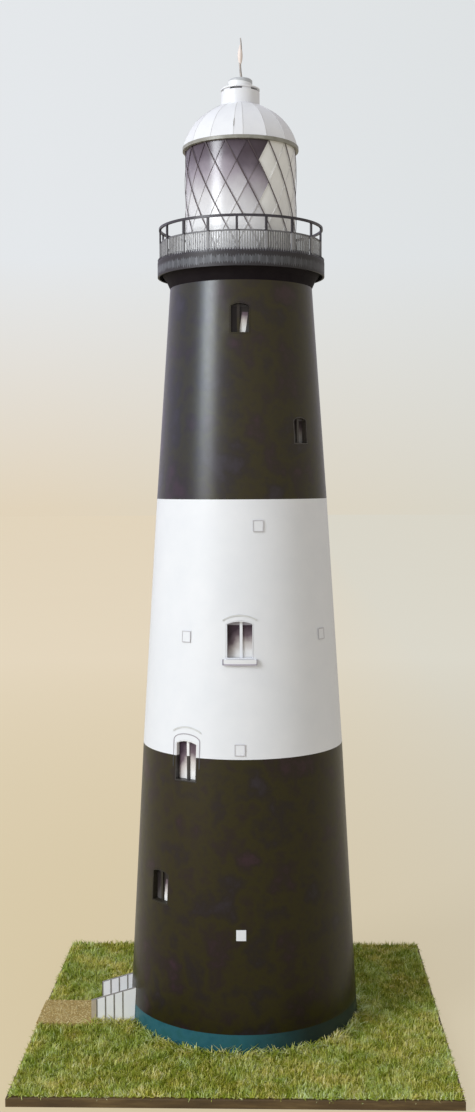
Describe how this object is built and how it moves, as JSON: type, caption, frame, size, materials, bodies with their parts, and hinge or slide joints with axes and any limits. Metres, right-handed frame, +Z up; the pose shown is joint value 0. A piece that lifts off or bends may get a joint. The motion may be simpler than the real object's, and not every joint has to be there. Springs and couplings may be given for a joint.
{
  "type": "model lighthouse",
  "caption": "Card-model lighthouse: tapered banded tower with recessed windows, gallery railing, lattice lantern and gored dome on a nearly square grassed board.",
  "frame": {"origin": "where the tower's axis meets the underside of the display board", "axes": "+Z up the tower; -Y is the front, -X the side with the entrance steps"},
  "size_m": [0.1, 0.098, 0.2439],
  "materials": {
    "board": "dark brown painted board, matt",
    "grass": "static grass fibres, olive with straw tips",
    "path": "tan path grit",
    "teal_card": "teal printed card, satin",
    "black_card": "near-black printed card, satin",
    "white_card": "white card, slightly satin",
    "window_card": "pale grey-white card",
    "pane": "pale printed panes",
    "ink_card": "thin grey hood line",
    "door": "teal card door",
    "stone_card": "pale stone card",
    "railing": "dark grey card",
    "lantern_glazing": "printed panes on glossy card",
    "pale_bar": "pale grey bars",
    "dark_bar": "dark brown bars",
    "eave": "grey-beige ring",
    "wire": "copper-grey wire",
    "vane": "pale orange card"
  },
  "bodies": {
    "root": {"baseboard": "board", "grass_mat": "grass", "gravel_path": "path", "plinth_band": "teal_card", "tower_lower": "black_card", "tower_middle": "white_card", "tower_upper": "black_card", "window_frame_lower_left": "window_card", "window_frame_band_line": "window_card", "window_frame_middle_front": "window_card", "window_frame_upper_right": "window_card", "window_frame_upper_front": "window_card", "window_frame_lower_back": "window_card", "window_frame_middle_back": "window_card", "window_frame_upper_back": "window_card", "window_panes": "pane", "window_sills": "white_card", "window_hoods": "ink_card", "vent_plates": "white_card", "entrance_frame": "white_card", "entrance_door": "door", "stair_wall_near": "white_card", "stair_wall_far": "white_card", "stair_flight": "stone_card", "gallery_corbel": "black_card", "gallery_deck": "railing", "gallery_fascia": "railing", "gallery_posts": "railing", "gallery_handrail": "railing", "gallery_mid_rail": "railing", "gallery_bottom_rail": "railing", "gallery_pickets": "railing", "lantern_drum": "lantern_glazing", "lantern_bars_left": "dark_bar", "lantern_bars_right": "pale_bar", "lantern_eave": "eave", "dome": "white_card", "ventilator_drum": "white_card", "ventilator_collar": "white_card", "ventilator_neck": "white_card", "ventilator_cap": "white_card", "finial_rod": "wire", "wind_vane": "vane"}
  },
  "joints": []
}
